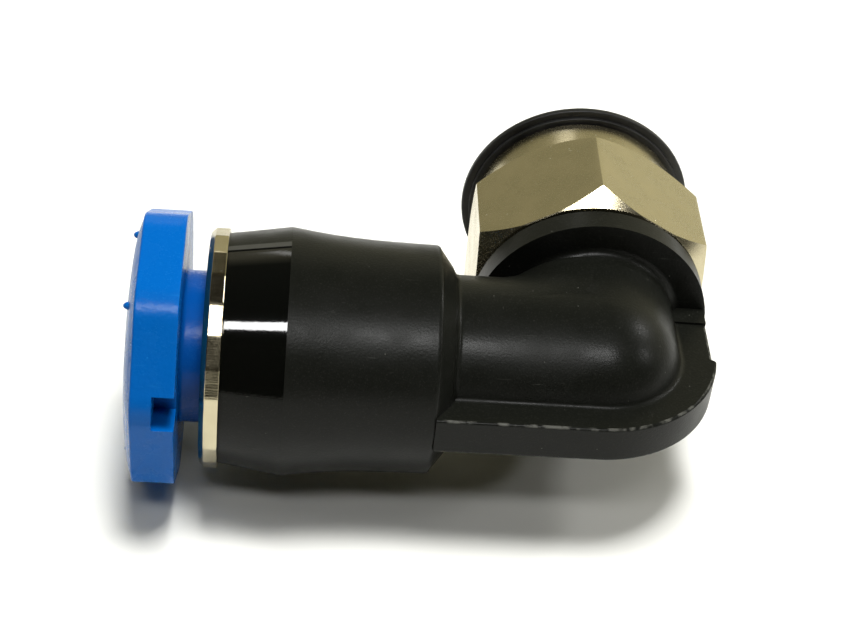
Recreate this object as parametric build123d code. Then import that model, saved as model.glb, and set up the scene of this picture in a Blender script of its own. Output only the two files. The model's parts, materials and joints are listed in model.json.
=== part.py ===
"""Push-in elbow fitting for 6 mm tube with a swivelling G1/8 stud.

The frame: the tube lies along X and goes in from -X, the stud points along +Y,
and Z is up.  The origin is the centre of the stud's metal sealing face.  Every
piece is first drawn about the point where the tube axis and the stud axis cross.
"""
from build123d import *
import math
import os

# ---- driving dimensions, mm -------------------------------------------------
TUBE_D = 6.0                  # outside diameter of the tube the fitting takes
THREAD_MAJOR_D = 9.728        # G1/8 major diameter
THREAD_LENGTH = 3.5           # short enough to hide behind the seal ring
HEX_ACROSS_FLATS = 13.0
STUD_REACH = 15.45            # tube axis to the stud's metal sealing face
MOUTH_REACH = 20.35           # stud axis to the mouth of the barrel
GAP = 0.02                    # assembly gap between faces that meet
RUNNING_GAP = 0.05            # radial clearance of what turns or slides
FULL_TURN = 360.0
OVERCUT = 1.0                 # how far a cutting shape runs past what it cuts

# elbow housing, outside
NECK_R = 4.7
BARREL_END_X = -9.0           # barrel's inner end, where its shoulder starts
SHOULDER_LENGTH = 0.8
SHOULDER_ROUND = 0.18
SHOULDER_LEAN = 0.1           # the shoulder starts this far past the barrel's end
NECK_FILLET = 0.45
BARREL_MOUTH_R = 6.25
BARREL_CREST_X = -17.0
BARREL_CREST_R = 6.78
BARREL_WAIST_X = -12.6
BARREL_WAIST_R = 6.33
BARREL_END_R = 6.26
INNER_BEND_R = 1.0            # blend on the inside of the bend
DISC_BACK_Y = 4.2             # round socket plate that faces the hexagon
DISC_FRONT_Y = 5.85
DISC_R = 6.6
DISC_EDGE_CHAMFER = 0.25
DISC_FILLET = 0.5             # where the rounded corner runs out on the plate
RIB_THICKNESS = 2.2           # stiffening rib round the outside of the bend
RIB_OUTER_Y = -6.3
RIB_OUTER_X = 6.65
RIB_BEND_R = 6.9
RIB_STEP_Y = -0.2             # the rib's foot beside the stud is a step lower
RIB_STEP = 0.28
RIB_STEP_SLOPE = 0.12
RIB_PAD_Y = 2.95              # its end at the plate is a little thicker
RIB_PAD = 0.14
RIB_FILLET = 0.35
RIB_EDGE_FILLET = 0.15
EDGE_TOLERANCE = 0.02         # for picking edges by where they lie
LABEL_MARGIN = 0.02           # the fields stop just short of the crest
LABEL_DEPTH = 0.06            # smooth marking fields on the barrel's mouth cone
LABEL_START = 18.0            # degrees from -Y towards +Z
LABEL_SWEEP = 77.0

# elbow housing, inside
WAY_R = 2.0                   # air way
TUBE_SEAT_R = TUBE_D / 2 + RUNNING_GAP
TUBE_STOP_X = -8.6
SEAL_SEAT_R = 4.75
SEAL_SEAT_X = -11.2
CARTRIDGE_BORE_R = 5.5
CARTRIDGE_END_X = -13.2
SOCKET_R = 3.25               # bore that the stud's shank turns in
SOCKET_FLOOR_Y = 2.15
CLIP_GROOVE_R = 3.95
CLIP_Y = 4.6
CLIP_GROOVE_WIDTH = 0.75

# metal ring at the barrel mouth, its rim a row of narrow flats
RING_R = 6.54                 # over the corners between its flats
RING_THICKNESS = 1.0
RING_CHAMFER = 0.28
RING_FLATS = 24
RING_BORE_R = 4.4
RING_SLEEVE_END_X = -15.2
BEAD_GROOVE_R = 4.95
BEAD_GROOVE_X = (-18.2, -15.75)

# release collar
FLANGE_FRONT_X = -24.85
FLANGE_THICKNESS = 2.3
FLANGE_HALF_WIDTH = 7.23      # axis to each of its sides
FLANGE_SIDES = 8
FLANGE_CORNER_R = 2.5
FLANGE_TURN = 11.0            # degrees, the collar turns freely in the barrel
FLANGE_EDGE_FILLET = 0.22
FLANGE_CROWN = 0.55           # height of the domed front face
CROWN_MARGIN = 0.3            # flat border round the dome
COLLAR_SLEEVE_R = 4.13
COLLAR_BORE_R = TUBE_D / 2 + 2 * RUNNING_GAP
COLLAR_NOSE_X = -15.7
COLLAR_NOSE_R = 3.5
COLLAR_BEAD_R = 4.6
COLLAR_BEAD_LENGTH = 0.65
COLLAR_BEAD_FLAT = 0.2
COLLAR_LEAD = 0.6             # length of the nose taper and of the bore's lead-in
COLLAR_SLOTS = 4
COLLAR_SLOT_WIDTH = 0.7
COLLAR_SLOT_RUN = 1.2         # how far the slots run past the bead
COLLAR_SLOT_HEIGHT = 7.2
NOTCH_WIDTH = 2.05            # driver notches in the flange's rear edge
NOTCH_DEPTH = 1.15
NOTCH_FLOOR = 1.7             # depth of the notch below the flange's side
PIP_R = 0.23
PIP_HEIGHT = 0.4
PIP_CIRCLE_R = 5.9
PIP_ANGLES = (58.6, 118.6, 238.6, 298.6)

# toothed claw that holds the tube
CLAW_R = 5.2
CLAW_INNER_R = 2.9
CLAW_BEND_R = 4.5
CLAW_THICKNESS = 0.25
CLAW_TOOTH_REACH = 1.3
CLAW_TEETH = 12
CLAW_SLOT_WIDTH = 0.45

# rings inside the barrel
BACKING_SHELF = 0.5
BACKING_CLEARANCE = 0.3       # room round the claw's bend
LIP_SQUEEZE = 0.15            # how far the rubber lips stand inside the tube's outside
LIP_CHAMFER = 0.3
LIP_MOUTH = 0.6

# stud
HEX_FACE_Y = 5.95             # near face, just clear of the socket plate
HEX_START_Y = 6.85            # its corners are turned off at 45 degrees at both ends
HEX_END_Y = 11.6
STUD_COLLAR_R = 6.15
STUD_COLLAR_END_Y = 14.95
SEAL_RING_R = 6.85
SEAL_RING_INNER_R = 5.7
SEAL_RING_THICKNESS = 0.38    # of its wide rim
SEAL_STEP_R = 6.42            # narrower step on the side of the hexagon
SEAL_STEP_THICKNESS = 0.2
SEAL_RING_PROUD = 0.2
SEAL_RING_EDGE = 0.12
SHANK_R = SOCKET_R - RUNNING_GAP
SHANK_END_Y = 2.2
STUD_BORE_R = 1.75
STUD_MOUTH_CHAMFER = 0.4
SHANK_CHAMFER = 0.2
O_RING_GROOVE_R = 2.42
O_RING_GROOVE_WIDTH = 1.0
O_RING_Y = 3.2
CLIP_SEAT_R = 2.75
CLIP_SPLIT = 1.0
THREAD_CHAMFER = 0.6


def turned_on_tube_axis(outline, angle=FULL_TURN):
    """Solid of revolution about X from (x, radius) points."""
    wire = Polyline([(x, -r) for x, r in outline], close=True)
    return revolve(make_face(wire), Axis.X, -angle)


def turned_on_stud_axis(outline):
    """Solid of revolution about Y from (y, radius) points."""
    wire = Polyline([(r, y) for y, r in outline], close=True)
    return revolve(make_face(wire), Axis.Y, FULL_TURN)


def tube_between(x0, x1, outer, inner):
    """Plain ring about the tube axis."""
    return turned_on_tube_axis([(x0, inner), (x1, inner), (x1, outer), (x0, outer)])


def ring_between(y0, y1, outer, inner):
    """Plain ring about the stud axis."""
    return turned_on_stud_axis([(y0, inner), (y1, inner), (y1, outer), (y0, outer)])


def around_tube_axis(solid, count):
    """The same tool repeated evenly about the tube axis."""
    return [Rot(X=i * FULL_TURN / count) * solid for i in range(count)]


def barrel_outside():
    """Barrel with its mouth cone, sharp crest, waisted middle and steep shoulder."""
    mouth = (-MOUTH_REACH, BARREL_MOUTH_R)
    crest = (BARREL_CREST_X, BARREL_CREST_R)
    waist = (BARREL_WAIST_X, BARREL_WAIST_R)
    end = (BARREL_END_X - SHOULDER_ROUND, BARREL_END_R)
    shoulder = (BARREL_END_X + SHOULDER_LEAN, BARREL_END_R - SHOULDER_ROUND)
    foot = (BARREL_END_X + SHOULDER_LENGTH, NECK_R + NECK_FILLET)
    neck = (foot[0] + NECK_FILLET, NECK_R)
    outline = [
        Line((mouth[0], 0), mouth),
        Line(mouth, crest),
        Spline(crest, waist, end, tangents=[(1, -0.16), (1, -0.02)]),
        Spline(end, shoulder, tangents=[(1, -0.02), (0.35, -1)]),
        Line(shoulder, foot),
        Spline(foot, neck, tangents=[(0.6, -1), (1, 0)]),
        Line(neck, (neck[0], 0)),
        Line((neck[0], 0), (mouth[0], 0)),
    ]
    return revolve(make_face(Wire(outline)), Axis.X, FULL_TURN)


def bend_outside():
    """Neck, rounded corner, socket neck and round socket plate."""
    length = -BARREL_END_X
    neck = Pos(-length / 2, 0, 0) * Rot(Y=90) * Cylinder(NECK_R, length)
    corner = Sphere(NECK_R)
    socket = Pos(0, DISC_BACK_Y / 2, 0) * Rot(X=90) * Cylinder(NECK_R, DISC_BACK_Y)
    disc = turned_on_stud_axis([
        (DISC_BACK_Y, 0),
        (DISC_BACK_Y, DISC_R),
        (DISC_FRONT_Y - DISC_EDGE_CHAMFER, DISC_R),
        (DISC_FRONT_Y, DISC_R - DISC_EDGE_CHAMFER),
        (DISC_FRONT_Y, 0),
    ])
    return neck + corner + socket + disc


def bend_saddle():
    """Quarter of a torus that blends the two necks on the inside of the bend."""
    reach = NECK_R + INNER_BEND_R
    section = Pos(-reach, 0, 0) * Rot(Y=90) * Circle(NECK_R)
    return revolve(section, Axis((-reach, reach, 0), (0, 0, 1)), FULL_TURN / 4)


def plate_fillet():
    """Concave ring that rounds the step from the corner to the socket plate."""
    edge_r = NECK_R + DISC_FILLET
    foot_y = DISC_BACK_Y - DISC_FILLET
    sag = DISC_FILLET * (1 - math.sqrt(0.5))
    fillet_arc = ThreePointArc((NECK_R, foot_y), (NECK_R + sag, DISC_BACK_Y - sag), (edge_r, DISC_BACK_Y))
    fillet_back = Polyline([
        (edge_r, DISC_BACK_Y),
        (edge_r, DISC_BACK_Y + DISC_FILLET),
        (NECK_R - DISC_FILLET, DISC_BACK_Y + DISC_FILLET),
        (NECK_R - DISC_FILLET, foot_y),
        (NECK_R, foot_y),
    ])
    return revolve(make_face(Wire([fillet_arc, *fillet_back.edges()])), Axis.Y, FULL_TURN)


def rib():
    """Flat rib in the plane of both axes, following the outside of the bend."""
    centre_x = RIB_OUTER_X - RIB_BEND_R
    centre_y = RIB_OUTER_Y + RIB_BEND_R
    foot_x = RIB_OUTER_X - RIB_STEP
    end_angle = math.asin((RIB_STEP_Y - centre_y) / RIB_BEND_R)
    halfway = (end_angle - math.pi / 2) / 2
    bend_start = (centre_x, RIB_OUTER_Y)
    bend_middle = (centre_x + RIB_BEND_R * math.cos(halfway), centre_y + RIB_BEND_R * math.sin(halfway))
    bend_end = (centre_x + RIB_BEND_R * math.cos(end_angle), RIB_STEP_Y)
    step = (foot_x, RIB_STEP_Y + RIB_STEP_SLOPE)
    far = (foot_x, DISC_BACK_Y)
    root = (BARREL_END_X, RIB_OUTER_Y)
    outline = [
        Line(root, bend_start),
        ThreePointArc(bend_start, bend_middle, bend_end),
        Line(bend_end, step),
        Line(step, far),
        Line(far, (0, DISC_BACK_Y)),
        Line((0, DISC_BACK_Y), (0, 0)),
        Line((0, 0), (root[0], 0)),
        Line((root[0], 0), root),
    ]
    face = make_face(Wire(outline))
    return Pos(0, 0, -RIB_THICKNESS / 2) * extrude(face, RIB_THICKNESS)


def rib_pad():
    """Thicker end of the rib where it runs out against the socket plate."""
    width = RIB_OUTER_X - RIB_STEP
    length = DISC_BACK_Y - RIB_PAD_Y
    return Pos(width / 2, RIB_PAD_Y + length / 2, 0) * Box(width, length, RIB_THICKNESS + 2 * RIB_PAD)


def label_field(turn):
    """Thin shaving off the mouth cone that leaves a smooth marking field."""
    x0 = -MOUTH_REACH - LABEL_MARGIN
    x1 = BARREL_CREST_X - LABEL_MARGIN
    slope = (BARREL_CREST_R - BARREL_MOUTH_R) / (BARREL_CREST_X + MOUTH_REACH)
    r0 = BARREL_MOUTH_R - LABEL_MARGIN * slope - LABEL_DEPTH
    r1 = BARREL_CREST_R - LABEL_MARGIN * slope - LABEL_DEPTH
    outline = [(x0, r0), (x1, r1), (x1, r1 + OVERCUT), (x0, r0 + OVERCUT)]
    shaving = turned_on_tube_axis(outline, LABEL_SWEEP)
    return Rot(X=-LABEL_START - turn) * shaving


def elbow_bores():
    """Everything hollow in the housing: cartridge bore, seats, air way and socket."""
    mouth = -MOUTH_REACH
    barrel = turned_on_tube_axis([
        (mouth - OVERCUT, 0),
        (mouth - OVERCUT, CARTRIDGE_BORE_R),
        (CARTRIDGE_END_X, CARTRIDGE_BORE_R),
        (CARTRIDGE_END_X, SEAL_SEAT_R),
        (SEAL_SEAT_X, SEAL_SEAT_R),
        (SEAL_SEAT_X, TUBE_SEAT_R),
        (TUBE_STOP_X, TUBE_SEAT_R),
        (TUBE_STOP_X, WAY_R),
        (0, WAY_R),
        (0, 0),
    ])
    clip_start = CLIP_Y - CLIP_GROOVE_WIDTH / 2
    clip_end = CLIP_Y + CLIP_GROOVE_WIDTH / 2
    socket = turned_on_stud_axis([
        (0, 0),
        (0, WAY_R),
        (SOCKET_FLOOR_Y, WAY_R),
        (SOCKET_FLOOR_Y, SOCKET_R),
        (clip_start, SOCKET_R),
        (clip_start, CLIP_GROOVE_R),
        (clip_end, CLIP_GROOVE_R),
        (clip_end, SOCKET_R),
        (DISC_FRONT_Y + OVERCUT, SOCKET_R),
        (DISC_FRONT_Y + OVERCUT, 0),
    ])
    return barrel + Sphere(WAY_R) + socket


def distance_from_bend_line(point):
    """Distance, seen along Z, from the two crossing axes on the outside of the bend."""
    return math.hypot(max(point.X, 0), min(point.Y, 0))


def rib_root_edges(solid):
    """Edges where the rib's flat sides run into the round neck and corner."""
    side = RIB_THICKNESS / 2
    root = math.sqrt(NECK_R ** 2 - side ** 2)
    return [
        edge for edge in solid.edges()
        if abs(abs(edge.center().Z) - side) < EDGE_TOLERANCE
        and abs(distance_from_bend_line(edge.position_at(0.3)) - root) < EDGE_TOLERANCE
    ]


def rib_rim_edges(solid):
    """Outer long edges of the rib."""
    side = RIB_THICKNESS / 2
    return [
        edge for edge in solid.edges()
        if abs(abs(edge.center().Z) - side) < EDGE_TOLERANCE
        and distance_from_bend_line(edge.position_at(0.3)) > NECK_R + RIB_FILLET
        and edge.length > RIB_THICKNESS
    ]


def elbow_body():
    """Moulded housing: blended outside, bored inside, with two marking fields."""
    bend = bend_outside() + rib()
    bend = fillet(rib_root_edges(bend), RIB_FILLET)
    bend = fillet(rib_rim_edges(bend), RIB_EDGE_FILLET)
    housing = bend + bend_saddle() + plate_fillet() + rib_pad() + barrel_outside() - elbow_bores()
    return housing - label_field(0) - label_field(180)


def mouth_ring():
    """Plated ring with a row of flats on its rim; its sleeve is pressed into the barrel."""
    back = -MOUTH_REACH
    front = back - RING_THICKNESS
    ring = turned_on_tube_axis([
        (front, RING_BORE_R),
        (front, RING_R - RING_CHAMFER),
        (front + RING_CHAMFER, RING_R),
        (back, RING_R),
        (back, CARTRIDGE_BORE_R),
        (RING_SLEEVE_END_X, CARTRIDGE_BORE_R),
        (RING_SLEEVE_END_X, RING_BORE_R),
        (BEAD_GROOVE_X[1], RING_BORE_R),
        (BEAD_GROOVE_X[1], BEAD_GROOVE_R),
        (BEAD_GROOVE_X[0], BEAD_GROOVE_R),
        (BEAD_GROOVE_X[0], RING_BORE_R),
    ])
    length = RING_SLEEVE_END_X - front
    flats = Pos(front, 0, 0) * Rot(Y=90) * extrude(RegularPolygon(RING_R, RING_FLATS), length)
    return ring & flats


def release_collar():
    """Release collar: crowned eight-sided flange, sleeve, snap bead and blunt nose."""
    back = FLANGE_FRONT_X + FLANGE_THICKNESS
    octagon = RegularPolygon(FLANGE_HALF_WIDTH, FLANGE_SIDES, major_radius=False)
    octagon = fillet(octagon.vertices(), FLANGE_CORNER_R)
    flange = Pos(FLANGE_FRONT_X, 0, 0) * Rot(Y=90) * extrude(octagon, FLANGE_THICKNESS)
    flange = fillet(flange.faces().sort_by(Axis.X)[0].edges(), FLANGE_EDGE_FILLET)
    flat_r = FLANGE_HALF_WIDTH - FLANGE_EDGE_FILLET - CROWN_MARGIN
    crown = turned_on_tube_axis([
        (FLANGE_FRONT_X + CROWN_MARGIN, 0),
        (FLANGE_FRONT_X + CROWN_MARGIN, flat_r),
        (FLANGE_FRONT_X, flat_r),
        (FLANGE_FRONT_X - FLANGE_CROWN, COLLAR_SLEEVE_R),
        (FLANGE_FRONT_X - FLANGE_CROWN, 0),
    ])
    bead_x = BEAD_GROOVE_X[0] + GAP
    bead_end = bead_x + COLLAR_BEAD_LENGTH
    sleeve = turned_on_tube_axis([
        (back - CROWN_MARGIN, 0),
        (back - CROWN_MARGIN, COLLAR_SLEEVE_R),
        (bead_x, COLLAR_SLEEVE_R),
        (bead_x, COLLAR_BEAD_R),
        (bead_x + COLLAR_BEAD_FLAT, COLLAR_BEAD_R),
        (bead_end, COLLAR_SLEEVE_R),
        (COLLAR_NOSE_X - COLLAR_LEAD, COLLAR_SLEEVE_R),
        (COLLAR_NOSE_X, COLLAR_NOSE_R),
        (COLLAR_NOSE_X, 0),
    ])
    front = FLANGE_FRONT_X - FLANGE_CROWN
    bore = turned_on_tube_axis([
        (front - OVERCUT, 0),
        (front - OVERCUT, COLLAR_BORE_R + COLLAR_LEAD),
        (front, COLLAR_BORE_R + COLLAR_LEAD),
        (front + COLLAR_LEAD, COLLAR_BORE_R),
        (COLLAR_NOSE_X + OVERCUT, COLLAR_BORE_R),
        (COLLAR_NOSE_X + OVERCUT, 0),
    ])
    slot_start = bead_x - COLLAR_SLOT_RUN
    slot_length = COLLAR_NOSE_X + OVERCUT - slot_start
    slot = Pos(slot_start + slot_length / 2, 0, COLLAR_BEAD_R) * Box(
        slot_length, COLLAR_SLOT_WIDTH, COLLAR_SLOT_HEIGHT)
    notches = [
        Pos(back, side * FLANGE_HALF_WIDTH, 0) * Box(2 * NOTCH_DEPTH, 2 * NOTCH_FLOOR, NOTCH_WIDTH)
        for side in (-1, 1)
    ]
    pips = [
        Rot(X=-turn) * Pos(FLANGE_FRONT_X, -PIP_CIRCLE_R, 0) * Rot(Y=90)
        * Cylinder(PIP_R, 2 * (PIP_HEIGHT + FLANGE_CROWN / 2))
        for turn in PIP_ANGLES
    ]
    turned = Rot(X=-FLANGE_TURN) * (flange + crown - notches)
    slotted = sleeve - around_tube_axis(slot, COLLAR_SLOTS)
    return turned + slotted + pips - bore


def grip_claw():
    """Spring-steel ring whose teeth lean inwards, away from the mouth."""
    flat_x = RING_SLEEVE_END_X + GAP
    tip_x = flat_x + CLAW_TOOTH_REACH
    profile = [
        (flat_x, CLAW_R),
        (flat_x, CLAW_BEND_R),
        (tip_x - CLAW_THICKNESS, CLAW_INNER_R),
        (tip_x, CLAW_INNER_R),
        (flat_x + CLAW_THICKNESS, CLAW_BEND_R + CLAW_THICKNESS / 2),
        (flat_x + CLAW_THICKNESS, CLAW_R),
    ]
    claw = turned_on_tube_axis(profile)
    slot = Pos(flat_x, 0, CLAW_INNER_R) * Box(
        4 * CLAW_TOOTH_REACH, CLAW_SLOT_WIDTH, 2 * (CLAW_BEND_R - CLAW_INNER_R))
    return claw - around_tube_axis(slot, CLAW_TEETH)


def backing_ring():
    """Moulded ring between the claw and the tube seal."""
    start = RING_SLEEVE_END_X + 2 * GAP + CLAW_THICKNESS
    end = CARTRIDGE_END_X - GAP
    shelf = end - BACKING_SHELF
    wide = CLAW_BEND_R + BACKING_CLEARANCE
    narrow = TUBE_SEAT_R + RUNNING_GAP
    return turned_on_tube_axis([
        (start, wide),
        (shelf, wide),
        (shelf, narrow),
        (end, narrow),
        (end, CARTRIDGE_BORE_R - GAP),
        (start, CARTRIDGE_BORE_R - GAP),
    ])


def tube_seal():
    """Rubber lip seal that closes on the tube."""
    start = CARTRIDGE_END_X + GAP
    end = SEAL_SEAT_X - GAP
    outer = SEAL_SEAT_R - GAP
    lip = TUBE_D / 2 - LIP_SQUEEZE
    middle = (start + end) / 2
    return turned_on_tube_axis([
        (start, outer),
        (start, lip + LIP_MOUTH),
        (start + LIP_CHAMFER, lip),
        (middle, lip + LIP_CHAMFER),
        (end - LIP_CHAMFER, lip),
        (end, lip + LIP_MOUTH),
        (end, outer),
    ])


def stud_hexagon():
    """Hexagon with a corner up, its far corners turned off by a 45 degree cone."""
    corner_r = HEX_ACROSS_FLATS / math.sqrt(3)
    length = STUD_REACH - HEX_FACE_Y
    hexagon = Pos(0, HEX_FACE_Y, 0) * Rot(X=-90) * extrude(
        RegularPolygon(corner_r, 6, rotation=30), length)
    cone_end = HEX_END_Y + corner_r - STUD_COLLAR_R
    envelope = turned_on_stud_axis([
        (HEX_FACE_Y, 0),
        (HEX_FACE_Y, corner_r - HEX_START_Y + HEX_FACE_Y),
        (HEX_START_Y, corner_r),
        (HEX_END_Y, corner_r),
        (cone_end, STUD_COLLAR_R),
        (STUD_COLLAR_END_Y, STUD_COLLAR_R),
        (STUD_COLLAR_END_Y, SEAL_RING_INNER_R),
        (STUD_REACH, SEAL_RING_INNER_R),
        (STUD_REACH, 0),
    ])
    return hexagon & envelope


def threaded_stud():
    """Plated brass stud: shank, hexagon, seal seat and the G1/8 thread's envelope."""
    thread_end = STUD_REACH + THREAD_LENGTH
    major_r = THREAD_MAJOR_D / 2
    groove_start = O_RING_Y - O_RING_GROOVE_WIDTH / 2
    groove_end = O_RING_Y + O_RING_GROOVE_WIDTH / 2
    seat_start = CLIP_Y - CLIP_GROOVE_WIDTH / 2
    seat_end = CLIP_Y + CLIP_GROOVE_WIDTH / 2
    turned = turned_on_stud_axis([
        (SHANK_END_Y, 0),
        (SHANK_END_Y, SHANK_R - SHANK_CHAMFER),
        (SHANK_END_Y + SHANK_CHAMFER, SHANK_R),
        (groove_start, SHANK_R),
        (groove_start, O_RING_GROOVE_R),
        (groove_end, O_RING_GROOVE_R),
        (groove_end, SHANK_R),
        (seat_start, SHANK_R),
        (seat_start, CLIP_SEAT_R),
        (seat_end, CLIP_SEAT_R),
        (seat_end, SHANK_R),
        (HEX_FACE_Y + OVERCUT, SHANK_R),
        (HEX_FACE_Y + OVERCUT, major_r),
        (thread_end - THREAD_CHAMFER, major_r),
        (thread_end, major_r - THREAD_CHAMFER),
        (thread_end, 0),
    ])
    bore = ring_between(SHANK_END_Y - OVERCUT, thread_end + OVERCUT, STUD_BORE_R, 0)
    mouth = turned_on_stud_axis([
        (thread_end - STUD_MOUTH_CHAMFER, 0),
        (thread_end - STUD_MOUTH_CHAMFER, STUD_BORE_R),
        (thread_end + OVERCUT, STUD_BORE_R + STUD_MOUTH_CHAMFER + OVERCUT),
        (thread_end + OVERCUT, 0),
    ])
    return turned + stud_hexagon() - bore - mouth


def thread_seal_ring():
    """Black stepped sealing ring on the stud's seat, proud of the metal face."""
    end = STUD_REACH + SEAL_RING_PROUD
    start = end - SEAL_RING_THICKNESS
    inner = SEAL_RING_INNER_R + GAP
    rim = ring_between(start, end, SEAL_RING_R, inner)
    outer_edges = rim.edges().filter_by(GeomType.CIRCLE).filter_by(
        lambda edge: edge.radius > SEAL_STEP_R)
    step = ring_between(start - SEAL_STEP_THICKNESS, start, SEAL_STEP_R, inner)
    return fillet(outer_edges, SEAL_RING_EDGE) + step


def stud_o_ring():
    """Rubber O-ring that seals the turning shank."""
    section_r = (SOCKET_R - RUNNING_GAP - O_RING_GROOVE_R - GAP) / 2
    middle_r = O_RING_GROOVE_R + GAP + section_r
    return Pos(0, O_RING_Y, 0) * Rot(X=90) * Torus(middle_r, section_r)


def stud_clip():
    """Split spring clip that holds the stud in the housing and lets it turn."""
    half = CLIP_GROOVE_WIDTH / 2 - GAP
    outer = CLIP_GROOVE_R - RUNNING_GAP
    ring = ring_between(CLIP_Y - half, CLIP_Y + half, outer, CLIP_SEAT_R + 2 * RUNNING_GAP)
    split = Pos(0, CLIP_Y, -CLIP_GROOVE_R) * Box(CLIP_SPLIT, CLIP_GROOVE_WIDTH, 2 * CLIP_SEAT_R)
    return ring - split


PIECES = {
    "elbow_body": elbow_body,
    "mouth_ring": mouth_ring,
    "release_collar": release_collar,
    "grip_claw": grip_claw,
    "backing_ring": backing_ring,
    "tube_seal": tube_seal,
    "threaded_stud": threaded_stud,
    "thread_seal_ring": thread_seal_ring,
    "stud_o_ring": stud_o_ring,
    "stud_clip": stud_clip,
}

os.makedirs("parts", exist_ok=True)
for name, make in PIECES.items():
    piece = Pos(0, -STUD_REACH, 0) * make()
    export_step(piece, f"parts/{name}.step")
    print(name, round(piece.volume, 2), piece.is_valid)
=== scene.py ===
"""Looks of a push-in elbow fitting: black moulded elbow, plated stud and ring, blue collar.

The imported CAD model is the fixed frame.  The housing and the pieces shut inside it keep their
CAD meshes and get finishes.  The collar, the mouth ring, the threaded stud and its seal ring are
new surfaces, each a function of two parameters worked out on a grid.  All lengths are metres.
"""

import json
import logging
import math
from dataclasses import dataclass
from enum import Enum
from typing import Sequence, Union

import bmesh
import bpy
import numpy as np
from mathutils import Matrix, Vector


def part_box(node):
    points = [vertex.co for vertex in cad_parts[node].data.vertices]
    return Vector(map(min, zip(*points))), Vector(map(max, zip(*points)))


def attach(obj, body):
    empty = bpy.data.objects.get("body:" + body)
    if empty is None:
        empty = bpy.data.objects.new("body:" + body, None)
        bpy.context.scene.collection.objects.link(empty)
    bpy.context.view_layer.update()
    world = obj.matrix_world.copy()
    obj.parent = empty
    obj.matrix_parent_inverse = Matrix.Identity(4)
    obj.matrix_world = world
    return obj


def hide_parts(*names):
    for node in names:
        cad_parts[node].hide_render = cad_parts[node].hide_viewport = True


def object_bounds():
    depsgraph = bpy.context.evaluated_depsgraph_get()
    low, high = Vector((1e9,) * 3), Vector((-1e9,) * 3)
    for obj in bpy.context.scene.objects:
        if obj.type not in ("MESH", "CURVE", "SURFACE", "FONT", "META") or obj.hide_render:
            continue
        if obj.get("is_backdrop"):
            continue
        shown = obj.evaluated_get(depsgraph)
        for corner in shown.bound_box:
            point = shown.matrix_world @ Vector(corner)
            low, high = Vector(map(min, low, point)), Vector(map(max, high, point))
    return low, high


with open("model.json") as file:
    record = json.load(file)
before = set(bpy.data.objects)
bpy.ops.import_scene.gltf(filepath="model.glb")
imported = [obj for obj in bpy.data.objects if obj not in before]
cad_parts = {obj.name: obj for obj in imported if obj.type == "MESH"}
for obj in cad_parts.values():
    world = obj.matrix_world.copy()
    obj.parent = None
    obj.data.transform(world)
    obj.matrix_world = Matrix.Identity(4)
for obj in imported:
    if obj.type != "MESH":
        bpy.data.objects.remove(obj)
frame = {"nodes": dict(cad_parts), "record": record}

LOG = logging.getLogger("fitting")
MM = 0.001
TURN = 2 * math.pi
MERGE_DISTANCE = 1e-7
EDGE_GAP = 2e-4
ALONG_TUBE = (0.05, 1.0, 1.0)
ROUND_STUD = (0.04, 1.0, 0.04)

Colour = tuple[float, float, float]
Socket = bpy.types.NodeSocket
Input = Union[float, Sequence[float], Socket]


class Slot(Enum):
    """Material slots of the record, one named with each new piece."""

    PLATING = "plating"
    COLLAR = "collar"
    RUBBER = "rubber"


class Axis(Enum):
    """The fitting's two axes, as (along, across, up) directions of a piece turned about one."""

    TUBE = ((1, 0, 0), (0, -1, 0), (0, 0, 1))
    STUD = ((0, 1, 0), (1, 0, 0), (0, 0, 1))


# ---- surfaces ---------------------------------------------------------------


def turned_grid(axis: Axis, along: np.ndarray, radius: np.ndarray, angle: np.ndarray,
                centre: Sequence[float]) -> np.ndarray:
    """Places a turned shape's points in the frame.

    A point is the centre, plus its distance along the axis, plus its radius in the
    direction cos(angle) across and sin(angle) up.

    Args:
        axis: the axis the shape is turned about.
        along: distance along the axis, rows by columns.
        radius: distance from the axis, rows by columns.
        angle: angle about the axis, one for each column.
        centre: a point on the axis, where along is zero.

    Returns:
        Points as an array of rows by columns by 3.
    """
    a, c, u = (np.array(v, float) for v in axis.value)
    ring = np.cos(angle)[:, None] * c + np.sin(angle)[:, None] * u
    return np.array(centre) + along[..., None] * a + radius[..., None] * ring[None, :, :]


def polygon_radius(angle: np.ndarray, sides: int, half_width: np.ndarray,
                   corner: np.ndarray) -> np.ndarray:
    """Radius of a polygon with rounded corners, side 0 facing angle 0.

    With t the angle from the nearest side's middle, the radius is half_width / cos t along the
    flat. Past the flat it is where the ray meets the corner circle: D cos g plus the root of
    corner squared less (D sin g) squared, where g is the angle to the corner and D the
    distance of the circle's centre.

    Args:
        angle: angle about the axis, one for each column.
        sides: number of sides.
        half_width: half the width across flats, rows by 1.
        corner: corner radius, rows by 1.

    Returns:
        The radius, rows by columns.
    """
    half_side = math.pi / sides
    t = np.abs((angle + half_side) % (2 * half_side) - half_side)[None, :]
    reach = (half_width - corner) / math.cos(half_side)
    g = half_side - t
    inside = np.clip(corner ** 2 - (reach * np.sin(g)) ** 2, 0, None)
    rounded = reach * np.cos(g) + np.sqrt(inside)
    flat_end = np.arctan((half_width - corner) * math.tan(half_side) / half_width)
    return np.where(t <= flat_end, half_width / np.cos(t), rounded)


def arc_points(centre: Sequence[float], radius: float, start: float, stop: float,
               count: int) -> np.ndarray:
    """Points of an arc in the (along, radius) plane: the centre plus radius times (cos, sin).

    Args:
        centre: the arc's centre.
        radius: its radius.
        start: first angle in degrees, from the direction of along.
        stop: last angle in degrees.
        count: number of points.

    Returns:
        Points as an array of count by 2.
    """
    a = np.radians(np.linspace(start, stop, count))
    return np.stack([centre[0] + radius * np.cos(a), centre[1] + radius * np.sin(a)], axis=1)


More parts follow.
